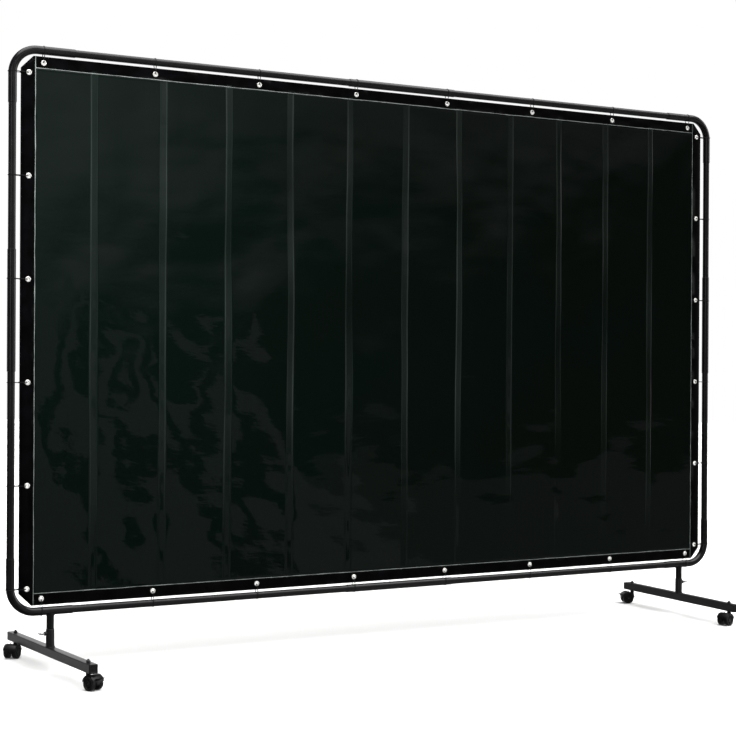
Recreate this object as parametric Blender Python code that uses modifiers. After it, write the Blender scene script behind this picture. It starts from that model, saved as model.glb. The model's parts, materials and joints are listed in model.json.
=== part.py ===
"""Free-standing welding curtain screen: a push-together tube frame that holds one vinyl curtain,
on two swivelling feet with twin-wheel casters.

Axes: +X runs along the screen, +Y is its back, +Z is up, and Z = 0 is the floor.
The frame's tubes lie in the plane Y = 0. The two feet are clamped a few degrees toed in.
"""
import math

import bmesh
import bpy
from mathutils import Matrix, Vector

# Frame, in metres
FRAME_WIDTH = 3.048
FRAME_BOTTOM = 0.194
FRAME_TOP = 2.104
WIDE_OD = 0.0286
NARROW_OD = 0.0254
TUBE_WALL = 0.0012
TUBE_SIDES = 16
BEND_RADIUS = 0.085
BEND_STEPS = 6
CORNER_LEG_X = 0.230
CORNER_LEG_Z = 0.196
RAIL_COUPLING = 0.460
UPRIGHT_COUPLING_LOW = 1.013
UPRIGHT_COUPLING_HIGH = 1.420
INSERTION = 0.060

# Curtain
CURTAIN_WIDTH = 2.960
CURTAIN_HEIGHT = 1.840
CURTAIN_THICKNESS = 0.001
HEM_THICKNESS = 0.002
HEM_WIDTH = 0.040
SIDE_HEM_WIDTH = 0.049
CORNER_CUT = 0.042

# Feet
POST_X = 1.371
POST_BOTTOM = 0.100
SOCKET_HEIGHT = 0.060
FOOT_TOE_IN = math.radians(3.0)
BAR_SIDE = 0.030
BAR_WALL = 0.0015
BAR_LENGTH = 0.740
BAR_BOTTOM = 0.056
CAP_PLATE = 0.003
CAP_PLUG = 0.012
STEM_SPACING = 0.654

# Clamp
CLAMP_HEIGHT = 0.132
BOLT_DIAMETER = 0.006
BOSS_DIAMETER = 0.014
BOSS_LENGTH = 0.007
WING_SPAN = 0.026
WING_LENGTH = 0.012
WING_THICKNESS = 0.003
HUB_DIAMETER = 0.010
HUB_LENGTH = 0.008
HUB_STANDOFF = 0.004
DRILL_LENGTH = 0.03
DRILL_CENTRE = 0.022

# Casters
WHEEL_RADIUS = 0.023
WHEEL_WIDTH = 0.0162
WEB_HALF = 0.0078
OUTER_CHAMFER = 0.002
INNER_CHAMFER = 0.001
SIDE_CLEARANCE = 0.0005
TRAIL = 0.024
HOOD_INNER = 0.0245
HOOD_OUTER = 0.0275
HOOD_HALF = 0.0235
HOOD_TOP = 0.0535
NECK_RADIUS = 0.0078
BORE_FLOOR = 0.0005
BORE_OVERRUN = 0.02
HOOD_STEPS = 7
HOOD_START = math.radians(12)
HOOD_SWEEP = math.radians(150)
WEB_OVERLAP = 0.001
WEB_TRIM_SIZE = (0.1, 0.1, 0.04)
WEB_TRIM_CENTRE_Z = -0.010
AXLE_INSET = 0.001
PEDAL_HINGE_ANGLE = math.radians(35)
PEDAL_STANDOFF = 0.0022
PEDAL_TILT = math.radians(-12)
MOULDED_EDGE = 0.0008
NECK_BOTTOM = 0.020
AXLE_DIAMETER = 0.006
STEM_DIAMETER = 0.008
STEM_BOTTOM = 0.028
STEM_TOP = 0.097
FLANGE_DIAMETER = 0.016
NUT_ACROSS = 0.013
NUT_HEIGHT = 0.0065
PEDAL_LENGTH = 0.016
PEDAL_WIDTH = 0.026
PEDAL_THICKNESS = 0.003

GAP = 0.0003
BORE_PLAY = 0.0006
ROUND_SIDES = 16
SMALL_SIDES = 12
WHEEL_SIDES = 20

BAR_TOP = BAR_BOTTOM + BAR_SIDE
MID_X = (FRAME_WIDTH - WIDE_OD) / 2
LOW_Z = FRAME_BOTTOM + WIDE_OD / 2
HIGH_Z = FRAME_TOP - WIDE_OD / 2
MID_Z = (LOW_Z + HIGH_Z) / 2

CASTERS = {
    "left_front": {"side": -1, "end": -1, "heading": math.radians(18), "brake": True},
    "left_rear": {"side": -1, "end": 1, "heading": math.radians(-48), "brake": False},
    "right_front": {"side": 1, "end": -1, "heading": math.radians(-76), "brake": False},
    "right_rear": {"side": 1, "end": 1, "heading": math.radians(-106), "brake": True},
}


def clear_scene():
    for old in list(bpy.data.objects):
        bpy.data.objects.remove(old, do_unlink=True)


def make_collection(name):
    collection = bpy.data.collections.new(name)
    bpy.context.scene.collection.children.link(collection)
    return collection


def make_material(name, colour, roughness, metallic=0.0):
    material = bpy.data.materials.new(name)
    material.use_nodes = True
    shader = material.node_tree.nodes["Principled BSDF"]
    shader.inputs["Base Color"].default_value = (*colour, 1.0)
    shader.inputs["Roughness"].default_value = roughness
    shader.inputs["Metallic"].default_value = metallic
    return material


clear_scene()
PARTS = make_collection("welding_curtain_screen")
CUTTERS = make_collection("cutters")

STEEL_PAINT = make_material("black_powder_coat", (0.012, 0.012, 0.013), 0.35, 0.2)
VINYL = make_material("dark_green_vinyl", (0.006, 0.016, 0.012), 0.12)
HEM_VINYL = make_material("black_hem_vinyl", (0.008, 0.008, 0.010), 0.3)
ZINC = make_material("zinc_plated_steel", (0.60, 0.60, 0.58), 0.3, 1.0)
PLASTIC = make_material("black_nylon", (0.015, 0.015, 0.015), 0.5)
RUBBER = make_material("black_tread", (0.02, 0.02, 0.02), 0.6)


def new_object(name, mesh, material, collection=None):
    obj = bpy.data.objects.new(name, mesh)
    if material is not None:
        mesh.materials.clear()
        mesh.materials.append(material)
    (collection or PARTS).objects.link(obj)
    return obj


def mesh_from(bm, name):
    bmesh.ops.recalc_face_normals(bm, faces=bm.faces)
    mesh = bpy.data.meshes.new(name)
    bm.to_mesh(mesh)
    bm.free()
    return mesh


def smooth(obj):
    obj.data.shade_smooth()
    obj.data.set_sharp_from_angle(angle=math.radians(35))


def aim(axis):
    """Rotation that turns +Z onto the given axis."""
    return Vector((0, 0, 1)).rotation_difference(Vector(axis)).to_matrix().to_4x4()


def cylinder_mesh(name, radius, length, axis=(0, 0, 1), centre=(0, 0, 0), sides=ROUND_SIDES, caps=True):
    bm = bmesh.new()
    place = Matrix.Translation(centre) @ aim(axis)
    bmesh.ops.create_cone(bm, cap_ends=caps, segments=sides, radius1=radius, radius2=radius,
                          depth=length, matrix=place)
    return mesh_from(bm, name)


def box_mesh(name, size, centre=(0, 0, 0)):
    bm = bmesh.new()
    place = Matrix.Translation(centre) @ Matrix.Diagonal((*size, 1.0))
    bmesh.ops.create_cube(bm, size=1.0, matrix=place)
    return mesh_from(bm, name)


def wall(obj, thickness):
    """Give an open outer skin its wall, inwards, with a rim at each open end."""
    solidify = obj.modifiers.new("wall", "SOLIDIFY")
    solidify.thickness = thickness
    solidify.offset = -1.0
    solidify.use_even_offset = True


def cutter(name, mesh, parent=None):
    obj = new_object(name, mesh, None, CUTTERS)
    obj.hide_render = True
    obj.display_type = "WIRE"
    obj.parent = parent
    return obj


def boolean(obj, tool, operation):
    modifier = obj.modifiers.new(tool.name, "BOOLEAN")
    modifier.operation = operation
    modifier.object = tool


def bevel(obj, width, segments=2, angle=40):
    modifier = obj.modifiers.new("rounded_edges", "BEVEL")
    modifier.width = width
    modifier.segments = segments
    modifier.limit_method = "ANGLE"
    modifier.angle_limit = math.radians(angle)


# ---------------------------------------------------------------- frame tubes

def straight_tube(name, start, end, outer):
    start = Vector(start)
    end = Vector(end)
    run = end - start
    mesh = cylinder_mesh(name, outer / 2, run.length, axis=run.normalized(), sides=TUBE_SIDES, caps=False)
    tube = new_object(name, mesh, STEEL_PAINT)
    tube.location = (start + end) / 2
    wall(tube, TUBE_WALL)
    smooth(tube)
    return tube


def corner_bend(name, side_x, side_z):
    """A quarter bend with a straight leg along each of the two tubes that it joins."""
    corner = Vector((side_x * MID_X, 0, MID_Z + side_z * (HIGH_Z - LOW_Z) / 2))
    centre = corner - Vector((side_x * BEND_RADIUS, 0, side_z * BEND_RADIUS))
    points = [corner - Vector((0, 0, side_z * (CORNER_LEG_Z - WIDE_OD / 2)))]
    for step in range(BEND_STEPS + 1):
        angle = math.radians(90) * step / BEND_STEPS
        points.append(centre + BEND_RADIUS * Vector((side_x * math.cos(angle), 0, side_z * math.sin(angle))))
    points.append(corner - Vector((side_x * (CORNER_LEG_X - WIDE_OD / 2), 0, 0)))

    curve = bpy.data.curves.new(name + "_path", "CURVE")
    curve.dimensions = "3D"
    curve.bevel_depth = WIDE_OD / 2
    curve.bevel_resolution = (TUBE_SIDES - 4) // 2
    curve.use_fill_caps = False
    spline = curve.splines.new("POLY")
    spline.points.add(len(points) - 1)
    for knot, point in zip(spline.points, points):
        knot.co = (*(point - corner), 1.0)
    path = bpy.data.objects.new(name + "_path", curve)
    PARTS.objects.link(path)

    bpy.context.view_layer.update()
    evaluated = path.evaluated_get(bpy.context.evaluated_depsgraph_get())
    mesh = bpy.data.meshes.new_from_object(evaluated)
    bpy.data.objects.remove(path, do_unlink=True)
    bm = bmesh.new()
    bm.from_mesh(mesh)
    bmesh.ops.remove_doubles(bm, verts=bm.verts, dist=0.00001)
    bmesh.ops.recalc_face_normals(bm, faces=bm.faces)
    bm.to_mesh(mesh)
    bm.free()

    bend = new_object(name, mesh, STEEL_PAINT)
    bend.location = corner
    wall(bend, TUBE_WALL)
    smooth(bend)
    return bend


def build_frame():
    for side_x, hand in ((-1, "left"), (1, "right")):
        for side_z, level in ((-1, "lower"), (1, "upper")):
            corner_bend(f"{level}_{hand}_corner_bend", side_x, side_z)
        x = side_x * MID_X
        low_end = FRAME_BOTTOM + CORNER_LEG_Z - INSERTION
        high_end = FRAME_TOP - CORNER_LEG_Z + INSERTION
        straight_tube(f"{hand}_upright_coupling", (x, 0, UPRIGHT_COUPLING_LOW),
                      (x, 0, UPRIGHT_COUPLING_HIGH), WIDE_OD)
        straight_tube(f"{hand}_upright_lower_tube", (x, 0, low_end),
                      (x, 0, UPRIGHT_COUPLING_LOW + INSERTION), NARROW_OD)
        straight_tube(f"{hand}_upright_upper_tube", (x, 0, UPRIGHT_COUPLING_HIGH - INSERTION),
                      (x, 0, high_end), NARROW_OD)
    for z, rail in ((LOW_Z, "bottom"), (HIGH_Z, "top")):
        half = RAIL_COUPLING / 2
        straight_tube(f"{rail}_rail_coupling", (-half, 0, z), (half, 0, z), WIDE_OD)
        inner = half - INSERTION
        outer = FRAME_WIDTH / 2 - CORNER_LEG_X + INSERTION
        straight_tube(f"{rail}_rail_left_tube", (-outer, 0, z), (-inner, 0, z), NARROW_OD)
        straight_tube(f"{rail}_rail_right_tube", (inner, 0, z), (outer, 0, z), NARROW_OD)


# ---------------------------------------------------------------- curtain

def side_hem_mesh(name, sign):
    """Full-height strip whose two outer corners are cut off, to clear the bends."""
    bm = bmesh.new()
    bmesh.ops.create_cube(bm, size=1.0,
                          matrix=Matrix.Diagonal((SIDE_HEM_WIDTH, HEM_THICKNESS, CURTAIN_HEIGHT, 1.0)))
    corners = [edge for edge in bm.edges
               if abs(edge.verts[0].co.y - edge.verts[1].co.y) > HEM_THICKNESS / 2
               and edge.verts[0].co.x * sign > 0]
    bmesh.ops.bevel(bm, geom=corners, offset=CORNER_CUT, offset_type="OFFSET", segments=1,
                    profile=0.5, affect="EDGES")
    return mesh_from(bm, name)


def build_curtain():
    """One vinyl sheet inside four folded hems, each kept as a plain closed solid."""
    inner_width = CURTAIN_WIDTH - 2 * SIDE_HEM_WIDTH - 2 * GAP
    inner_height = CURTAIN_HEIGHT - 2 * HEM_WIDTH - 2 * GAP
    sheet = new_object("curtain_sheet",
                       box_mesh("curtain_sheet", (inner_width, CURTAIN_THICKNESS, inner_height)), VINYL)
    sheet.location = (0, 0, MID_Z)
    for sign, name in ((-1, "bottom_hem"), (1, "top_hem")):
        hem = new_object(name, box_mesh(name, (inner_width, HEM_THICKNESS, HEM_WIDTH)), HEM_VINYL)
        hem.location = (0, 0, MID_Z + sign * (CURTAIN_HEIGHT - HEM_WIDTH) / 2)
    for sign, name in ((-1, "left_hem"), (1, "right_hem")):
        hem = new_object(name, side_hem_mesh(name, sign), HEM_VINYL)
        hem.location = (sign * (CURTAIN_WIDTH - SIDE_HEM_WIDTH) / 2, 0, MID_Z)


# ---------------------------------------------------------------- posts, feet and clamps

def stub_post(hand, side):
    """Tube that runs from inside the foot's socket up to the bend's leg, coped to fit round it."""
    name = f"{hand}_stub_post"
    length = LOW_Z - POST_BOTTOM
    mesh = cylinder_mesh(name, NARROW_OD / 2, length, sides=TUBE_SIDES, caps=False)
    post = new_object(name, mesh, STEEL_PAINT)
    post.location = (side * POST_X, 0, POST_BOTTOM + length / 2)
    wall(post, TUBE_WALL)
    cope = cutter(f"{hand}_cope_cutter",
                  cylinder_mesh("cope", WIDE_OD / 2 + GAP, 2 * WIDE_OD, axis=(1, 0, 0), sides=40), post)
    cope.location = (0, 0, length / 2)
    boolean(post, cope, "DIFFERENCE")
    smooth(post)


def foot_socket(hand, side, foot):
    """Round socket that stands on the bar, with a threaded boss on its outer side."""
    name = f"{hand}_foot_socket"
    mesh = cylinder_mesh(name, WIDE_OD / 2, SOCKET_HEIGHT, sides=TUBE_SIDES)
    socket = new_object(name, mesh, STEEL_PAINT)
    socket.parent = foot
    socket.location = (0, 0, BAR_TOP + GAP + SOCKET_HEIGHT / 2)
    level = CLAMP_HEIGHT - socket.location.z
    boss_length = BOSS_LENGTH + WIDE_OD / 2
    boss = cutter(f"{hand}_boss",
                  cylinder_mesh("boss", BOSS_DIAMETER / 2, boss_length, axis=(1, 0, 0),
                                centre=(side * boss_length / 2, 0, level)), socket)
    bore = cutter(f"{hand}_socket_bore",
                  cylinder_mesh("bore", WIDE_OD / 2 - TUBE_WALL, 2 * SOCKET_HEIGHT,
                                sides=TUBE_SIDES), socket)
    drill = cutter(f"{hand}_bolt_hole",
                   cylinder_mesh("drill", BOLT_DIAMETER / 2 + BORE_PLAY / 2, DRILL_LENGTH, axis=(1, 0, 0),
                                 centre=(side * DRILL_CENTRE, 0, level)), socket)
    boolean(socket, boss, "UNION")
    boolean(socket, bore, "DIFFERENCE")
    boolean(socket, drill, "DIFFERENCE")
    smooth(socket)


def wing_bolt(hand, side, foot):
    """Bolt along X with its origin on its own axis; its tip stops just short of the stub post."""
    name = f"{hand}_wing_bolt"
    tip = NARROW_OD / 2 + GAP
    hub_start = WIDE_OD / 2 + BOSS_LENGTH + HUB_STANDOFF
    shaft_end = hub_start + HUB_LENGTH / 2
    shaft = cylinder_mesh(name, BOLT_DIAMETER / 2, shaft_end - tip, axis=(1, 0, 0),
                          centre=(side * (tip + shaft_end) / 2, 0, 0), sides=SMALL_SIDES)
    bolt = new_object(name, shaft, ZINC)
    bolt.parent = foot
    bolt.location = (0, 0, CLAMP_HEIGHT)
    hub = cutter(f"{hand}_hub",
                 cylinder_mesh("hub", HUB_DIAMETER / 2, HUB_LENGTH, axis=(1, 0, 0),
                               centre=(side * (hub_start + HUB_LENGTH / 2), 0, 0), sides=SMALL_SIDES), bolt)
    wing_centre = hub_start + HUB_LENGTH / 2 + WING_LENGTH / 2
    wings = cutter(f"{hand}_wings",
                   box_mesh("wings", (WING_LENGTH, WING_SPAN, WING_THICKNESS),
                            centre=(side * wing_centre, 0, 0)), bolt)
    boolean(bolt, hub, "UNION")
    boolean(bolt, wings, "UNION")
    smooth(bolt)


def foot_bar(hand, foot):
    """Square tube along Y, open at both ends, drilled for the two caster stems."""
    name = f"{hand}_foot_bar"
    length = BAR_LENGTH - 2 * CAP_PLATE - 2 * GAP
    bm = bmesh.new()
    bmesh.ops.create_cube(bm, size=1.0, matrix=Matrix.Diagonal((BAR_SIDE, length, BAR_SIDE, 1.0)))
    ends = [face for face in bm.faces if abs(face.normal.y) > 0.9]
    bmesh.ops.delete(bm, geom=ends, context="FACES")
    bar = new_object(name, mesh_from(bm, name), STEEL_PAINT)
    bar.parent = foot
    bar.location = (0, 0, BAR_BOTTOM + BAR_SIDE / 2)
    wall(bar, BAR_WALL)
    for end, label in ((-1, "front"), (1, "rear")):
        hole = cutter(f"{hand}_{label}_stem_hole",
                      cylinder_mesh("stem_hole", STEM_DIAMETER / 2 + BORE_PLAY / 2, 2 * BAR_SIDE,
                                    centre=(0, end * STEM_SPACING / 2, 0), sides=SMALL_SIDES), bar)
        boolean(bar, hole, "DIFFERENCE")
        end_cap(f"{hand}_{label}_end_cap", end, foot)


def end_cap(name, end, foot):
    """Square plastic plug: a rounded plate that covers the tube's end, and a spigot inside it."""
    cap = new_object(name, box_mesh(name, (BAR_SIDE, CAP_PLATE, BAR_SIDE)), PLASTIC)
    cap.parent = foot
    cap.location = (0, end * (BAR_LENGTH - CAP_PLATE) / 2, BAR_BOTTOM + BAR_SIDE / 2)
    bevel(cap, MOULDED_EDGE)
    inside = BAR_SIDE - 2 * (BAR_WALL + GAP)
    spigot = cutter(f"{name}_spigot",
                    box_mesh("spigot", (inside, CAP_PLUG, inside), centre=(0, -end * CAP_PLUG / 2, 0)), cap)
    boolean(cap, spigot, "UNION")


# ---------------------------------------------------------------- casters

def stem_and_nut(label, foot, y):
    """Threaded stem with its flange under the bar, and the nut that holds it on top."""
    flange_top = BAR_BOTTOM - GAP
    profile = [(0, STEM_TOP), (STEM_DIAMETER / 2, STEM_TOP), (STEM_DIAMETER / 2, flange_top),
               (FLANGE_DIAMETER / 2, flange_top), (FLANGE_DIAMETER / 2, HOOD_TOP + GAP),
               (STEM_DIAMETER / 2, HOOD_TOP + GAP), (STEM_DIAMETER / 2, STEM_BOTTOM), (0, STEM_BOTTOM)]
    stem = turned(f"{label}_stem", profile, ZINC, steps=SMALL_SIDES)
    stem.parent = foot
    stem.location = (0, y, 0)

    name = f"{label}_nut"
    centre_z = BAR_TOP + GAP + NUT_HEIGHT / 2
    hexagon = cylinder_mesh(name, NUT_ACROSS / math.sqrt(3), NUT_HEIGHT, sides=6)
    nut = new_object(name, hexagon, ZINC)
    nut.parent = foot
    nut.location = (0, y, centre_z)
    thread = cutter(f"{label}_nut_bore",
                    cylinder_mesh("thread", STEM_DIAMETER / 2 + GAP, 2 * NUT_HEIGHT, sides=SMALL_SIDES), nut)
    boolean(nut, thread, "DIFFERENCE")


def turned(name, profile, material, axis="Z", steps=WHEEL_SIDES):
    """Solid of revolution; each profile point is (radius, place along the axis), from top to bottom."""
    mesh = bpy.data.meshes.new(name)
    if axis == "Z":
        verts = [(radius, 0, place) for radius, place in profile]
    else:
        verts = [(place, 0, radius) for radius, place in profile]
    mesh.from_pydata(verts, [(i, i + 1) for i in range(len(verts) - 1)], [])
    obj = new_object(name, mesh, material)
    screw = obj.modifiers.new("turn", "SCREW")
    screw.axis = axis
    screw.steps = steps
    screw.render_steps = steps
    screw.use_merge_vertices = True
    screw.merge_threshold = 0.00001
    screw.use_smooth_shade = True
    return obj


def wheel(name, side, axle):
    """Hard wheel with a bore and chamfered edges."""
    inner = WEB_HALF + SIDE_CLEARANCE
    outer = inner + WHEEL_WIDTH
    bore = AXLE_DIAMETER / 2 + BORE_PLAY / 2
    section = [(bore, inner), (bore, outer), (WHEEL_RADIUS - OUTER_CHAMFER, outer),
               (WHEEL_RADIUS, outer - OUTER_CHAMFER), (WHEEL_RADIUS, inner + INNER_CHAMFER),
               (WHEEL_RADIUS - INNER_CHAMFER, inner), (bore, inner)]
    obj = turned(name, [(radius, side * place) for radius, place in section], RUBBER, axis="X")
    obj.parent = axle
    obj.modifiers["turn"].use_normal_flip = side < 0
    return obj


def hood_mesh(name):
    """Fender over both wheels: an arc in the local YZ plane, given its width along X."""
    outline = []
    outward = range(HOOD_STEPS + 1)
    for radius, order in ((HOOD_OUTER, outward), (HOOD_INNER, reversed(outward))):
        for step in order:
            angle = HOOD_START + HOOD_SWEEP * step / HOOD_STEPS
            outline.append((radius * math.cos(angle), radius * math.sin(angle)))
    bm = bmesh.new()
    base = [bm.verts.new((-HOOD_HALF, y, z)) for y, z in outline]
    face = bm.faces.new(base)
    grown = bmesh.ops.extrude_face_region(bm, geom=[face])
    moved = [item for item in grown["geom"] if isinstance(item, bmesh.types.BMVert)]
    bmesh.ops.translate(bm, verts=moved, vec=(2 * HOOD_HALF, 0, 0))
    return mesh_from(bm, name)


def caster_hood(label, pivot):
    """Fork body with its origin on the stem's axis: fender, web between the wheels, and neck."""
    name = f"{label}_hood"
    centre = Vector((0, -TRAIL, WHEEL_RADIUS))
    fender = hood_mesh(name)
    fender.transform(Matrix.Translation(centre))
    hood = new_object(name, fender, PLASTIC)
    hood.parent = pivot
    web = cutter(f"{label}_web",
                 cylinder_mesh("web", HOOD_INNER + WEB_OVERLAP, 2 * WEB_HALF, axis=(1, 0, 0),
                               centre=centre), hood)
    foot_cut = cutter(f"{label}_web_trim",
                      box_mesh("trim", WEB_TRIM_SIZE, centre=(0, -TRAIL, WEB_TRIM_CENTRE_Z)), hood)
    neck_length = HOOD_TOP - NECK_BOTTOM
    bore_length = HOOD_TOP - STEM_BOTTOM + BORE_OVERRUN
    neck = cutter(f"{label}_neck",
                  cylinder_mesh("neck", NECK_RADIUS, neck_length,
                                centre=(0, 0, NECK_BOTTOM + neck_length / 2)), hood)
    stem_bore = cutter(f"{label}_stem_bore",
                       cylinder_mesh("stem_bore", STEM_DIAMETER / 2 + BORE_PLAY / 2, bore_length,
                                     centre=(0, 0, STEM_BOTTOM - BORE_FLOOR + bore_length / 2),
                                     sides=SMALL_SIDES), hood)
    axle_bore = cutter(f"{label}_axle_bore",
                       cylinder_mesh("axle_bore", AXLE_DIAMETER / 2 + BORE_PLAY / 2, 4 * HOOD_HALF,
                                     axis=(1, 0, 0), centre=centre, sides=SMALL_SIDES), hood)
    boolean(hood, web, "UNION")
    boolean(hood, foot_cut, "DIFFERENCE")
    boolean(hood, neck, "UNION")
    boolean(hood, stem_bore, "DIFFERENCE")
    boolean(hood, axle_bore, "DIFFERENCE")
    smooth(hood)
    return hood


def brake_pedal(label, pivot):
    """Lever behind the fender, hinged on a line parallel to the axle."""
    name = f"{label}_brake_pedal"
    pedal = new_object(name, box_mesh(name, (PEDAL_WIDTH, PEDAL_LENGTH, PEDAL_THICKNESS),
                                      centre=(0, -PEDAL_LENGTH / 2, 0)), PLASTIC)
    pedal.parent = pivot
    pedal.location = (0, -TRAIL - HOOD_OUTER * math.cos(PEDAL_HINGE_ANGLE) - PEDAL_STANDOFF,
                      WHEEL_RADIUS + HOOD_OUTER * math.sin(PEDAL_HINGE_ANGLE))
    pedal.rotation_euler = (PEDAL_TILT, 0, 0)
    bevel(pedal, MOULDED_EDGE)


def caster(label, spec, foot):
    y = spec["end"] * STEM_SPACING / 2
    stem_and_nut(label, foot, y)
    pivot = bpy.data.objects.new(f"{label}_swivel", None)
    PARTS.objects.link(pivot)
    pivot.parent = foot
    pivot.location = (0, y, 0)
    pivot.rotation_euler = (0, 0, spec["heading"])
    caster_hood(label, pivot)

    axle_line = bpy.data.objects.new(f"{label}_axle_line", None)
    PARTS.objects.link(axle_line)
    axle_line.parent = pivot
    axle_line.location = (0, -TRAIL, WHEEL_RADIUS)
    reach = WEB_HALF + SIDE_CLEARANCE + WHEEL_WIDTH - AXLE_INSET
    pin = new_object(f"{label}_axle",
                     cylinder_mesh("axle", AXLE_DIAMETER / 2, 2 * reach, axis=(1, 0, 0),
                                   sides=SMALL_SIDES), ZINC)
    pin.parent = axle_line
    smooth(pin)
    wheel(f"{label}_wheel_a", -1, axle_line)
    wheel(f"{label}_wheel_b", 1, axle_line)
    if spec["brake"]:
        brake_pedal(label, pivot)


def build_foot(hand, side):
    foot = bpy.data.objects.new(f"{hand}_foot_swivel", None)
    PARTS.objects.link(foot)
    foot.location = (side * POST_X, 0, 0)
    foot.rotation_euler = (0, 0, -side * FOOT_TOE_IN)
    stub_post(hand, side)
    foot_socket(hand, side, foot)
    wing_bolt(hand, side, foot)
    foot_bar(hand, foot)
    for label, spec in CASTERS.items():
        if spec["side"] == side:
            caster(label, spec, foot)


build_frame()
build_curtain()
build_foot("left", -1)
build_foot("right", 1)
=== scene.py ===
import json
import math
import random

import bmesh
import bpy
from mathutils import Matrix, Vector, noise
from mathutils.geometry import delaunay_2d_cdt


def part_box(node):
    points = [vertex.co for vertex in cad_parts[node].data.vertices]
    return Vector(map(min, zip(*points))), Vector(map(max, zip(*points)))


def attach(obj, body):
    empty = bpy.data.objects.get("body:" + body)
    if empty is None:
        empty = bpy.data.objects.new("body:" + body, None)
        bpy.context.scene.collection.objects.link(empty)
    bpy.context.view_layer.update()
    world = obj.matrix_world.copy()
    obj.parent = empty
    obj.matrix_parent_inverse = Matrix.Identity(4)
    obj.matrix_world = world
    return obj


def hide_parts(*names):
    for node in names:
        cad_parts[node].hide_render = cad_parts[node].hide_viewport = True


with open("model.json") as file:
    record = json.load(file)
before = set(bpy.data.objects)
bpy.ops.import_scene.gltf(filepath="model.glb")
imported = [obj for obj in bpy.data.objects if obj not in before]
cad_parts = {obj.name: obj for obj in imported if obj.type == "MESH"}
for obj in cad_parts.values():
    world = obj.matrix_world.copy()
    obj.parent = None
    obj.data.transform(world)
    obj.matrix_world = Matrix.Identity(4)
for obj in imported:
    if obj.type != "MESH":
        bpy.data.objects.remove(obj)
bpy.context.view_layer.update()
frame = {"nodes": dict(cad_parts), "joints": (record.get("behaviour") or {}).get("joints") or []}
joints = {joint["name"]: joint for joint in frame["joints"]}
print("frame loaded:", len(frame["nodes"]), "nodes")

xAxis = Vector((1, 0, 0))
yAxis = Vector((0, 1, 0))
zAxis = Vector((0, 0, 1))
mm = 0.001


def mid(node):
    low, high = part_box(node)
    return (low + high) / 2


# the curtain's plan is taken from the frame
railHigh = mid("top_rail_coupling").z
railLow = mid("bottom_rail_coupling").z
uprightX = mid("right_upright_coupling").x
centreZ = (railHigh + railLow) / 2

curtain = {
    "creaseCount": 11,
    "creasePitch": 242.5 * mm,      # the film was folded to a quarter of a metre or so
    "creaseCrowding": 1.1 * mm,     # and the folds crept closer together towards one end
    "creaseMiddle": 17 * mm,
    "creaseHalf": 11.5 * mm,        # half the width of one pressed fold
    "creaseEdge": 3.5 * mm,
    "creaseDepth": 0.8 * mm,
    "creaseReach": 30 * mm,         # a fold bends nothing past this
    "creaseLine": 1.3 * mm,         # width of the whitened line along each edge of a fold, which also carries a painted highlight
    "creaseWhiteAndHighlight": [0.7, 0.8, 0.75, 0.7, 0.65, 0.8, 1.0, 0.55, 0.6, 0.6, 0.6],   # how white each fold is painted, its pressing and painted highlight together
    "wobble": 3.5 * mm,
    "panelEnd": 1.7,                # past either edge of the curtain, where the outermost panels end
    "panelBlend": 15 * mm,
    "panelTwist": 2.4 * mm,
    "columnFine": 2 * mm,
    "columnsBeside": 10,            # fine columns each side of a fold
    "columnClear": 22 * mm,         # the coarse columns keep this far off a fold
    "columnCoarse": 13 * mm,
    "rowStep": 17 * mm,
    "heldWithin": 0.22,             # the hems hold the film still this near its edges
    "slowWave": 3.6 * mm,
    "panelWave": 3.9 * mm,
    "ripple": 0.75 * mm,
    "rimWave": 0.8 * mm,
    "filmHalf": 0.25 * mm,
    "tuck": 7 * mm,                 # how far the film runs into each hem
    "hemHalf": 0.9 * mm,
    "hemStep": 16 * mm,
    "hemMargin": 3 * mm,            # inner mesh points keep this far from a hem's outline
    "curl": 9 * mm,
    "grommetsAcross": 8,
    "grommetPitch": 400.9 * mm,
    "grommetRow": 898.7 * mm,       # top and bottom rows, from the middle
    "grommetsDown": 6,
    "grommetDrop": 345.4 * mm,
    "grommetColumn": 1453.5 * mm,
    "holeRadius": 5.6 * mm,
    "holeSides": 20,
    "holeClear": 9 * mm,            # and this far from the middle of a hole
    "cornerCut": 42 * mm,
}

sheetLow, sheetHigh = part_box("curtain_sheet")
topHemLow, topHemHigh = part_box("top_hem")
bottomHemLow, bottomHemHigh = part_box("bottom_hem")
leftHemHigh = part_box("left_hem")[1]
rightHemLow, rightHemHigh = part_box("right_hem")
edgeX = rightHemHigh.x
edgeTop = topHemHigh.z
edgeBottom = bottomHemLow.z


def grommetSpots():
    spots = []
    for i in range(curtain["grommetsAcross"]):
        x = (i - (curtain["grommetsAcross"] - 1) / 2) * curtain["grommetPitch"]
        spots.append(("top", i + 1, x, centreZ + curtain["grommetRow"], Vector((0, 0, 1))))
        spots.append(("bottom", i + 1, x, centreZ - curtain["grommetRow"], Vector((0, 0, -1))))
    for i in range(curtain["grommetsDown"]):
        z = centreZ + ((curtain["grommetsDown"] - 1) / 2 - i) * curtain["grommetDrop"]
        spots.append(("left", i + 1, -curtain["grommetColumn"], z, Vector((-1, 0, 0))))
        spots.append(("right", i + 1, curtain["grommetColumn"], z, Vector((1, 0, 0))))
    return spots


spots = grommetSpots()


def smoothStep(low, high, value):
    t = min(1.0, max(0.0, (value - low) / (high - low)))
    return t * t * (3 - 2 * t)


def creasePlaces():
    places = []
    for i in range(curtain["creaseCount"]):
        step = i - (curtain["creaseCount"] - 1) / 2
        crowding = step ** 2 * curtain["creaseCrowding"]
        places.append(curtain["creaseMiddle"] + step * curtain["creasePitch"] - crowding)
    return places


creases = creasePlaces()


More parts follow.
